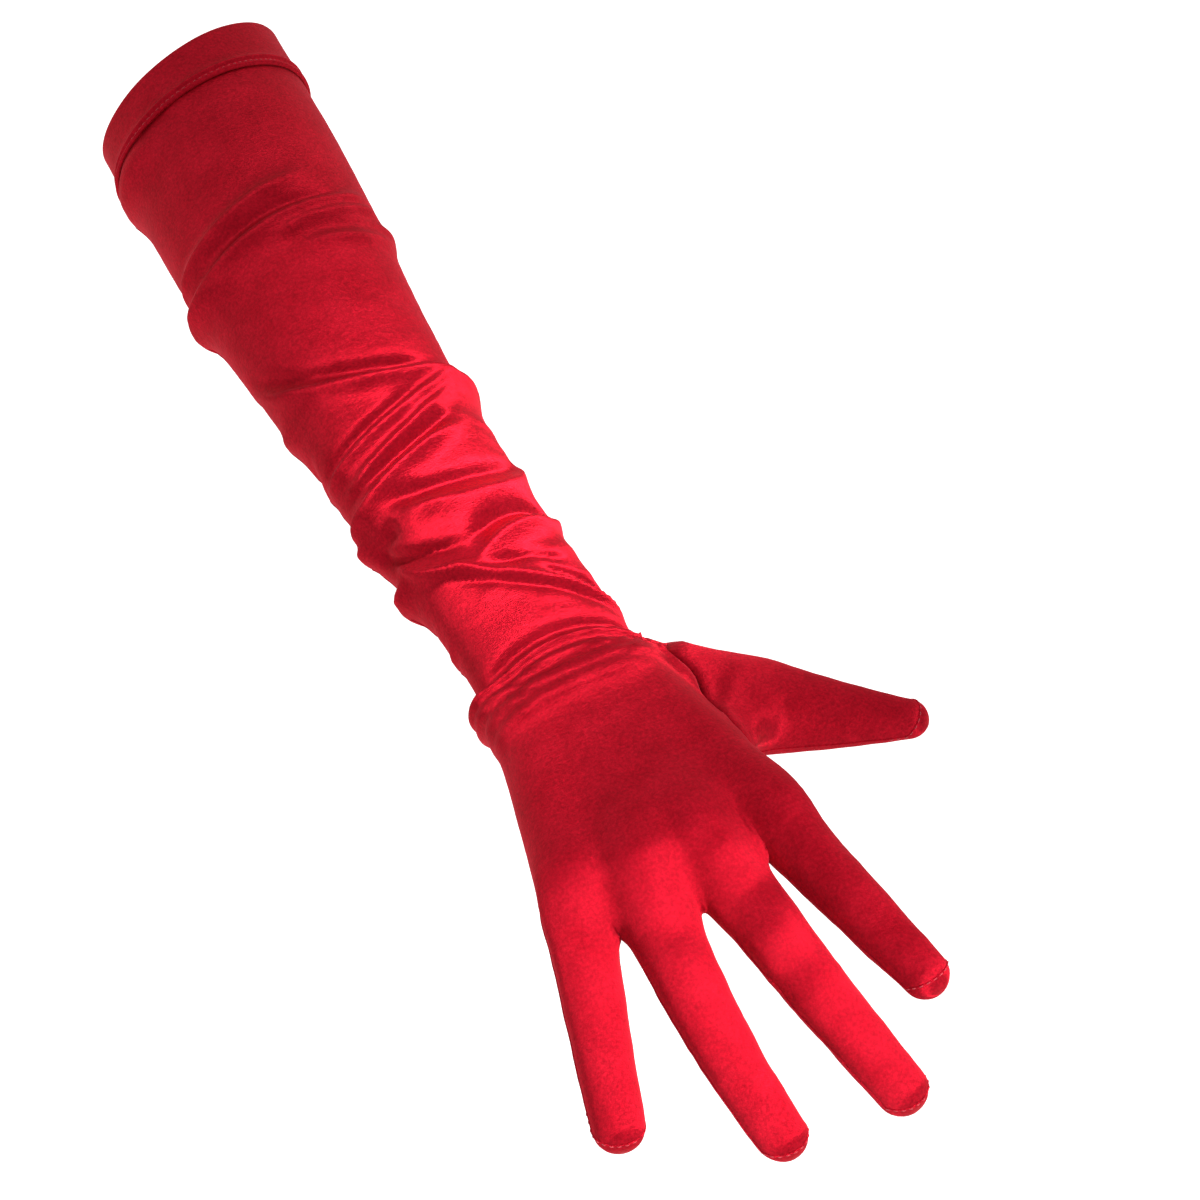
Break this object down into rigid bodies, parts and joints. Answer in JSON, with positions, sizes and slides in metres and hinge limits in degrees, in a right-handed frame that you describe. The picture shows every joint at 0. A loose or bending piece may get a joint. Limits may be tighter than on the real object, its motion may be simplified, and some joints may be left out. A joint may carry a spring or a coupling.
{
  "type": "satin glove",
  "caption": "Long stretch-satin evening glove for the right hand in worn form, with spread fingers, a gathered sleeve and an open hemmed top.",
  "frame": {"origin": "middle of the opening for the arm, in the mean plane of its leaning rim", "axes": "+Y out of the opening along the arm, fingers towards -Y, +X the thumb's side, +Z the back of the hand"},
  "size_m": [0.1705, 0.532, 0.081],
  "materials": {
    "satin": "satin"
  },
  "bodies": {
    "root": {"top_hem": "satin", "sleeve": "satin", "hand": "satin", "thumb": "satin"}
  },
  "joints": []
}
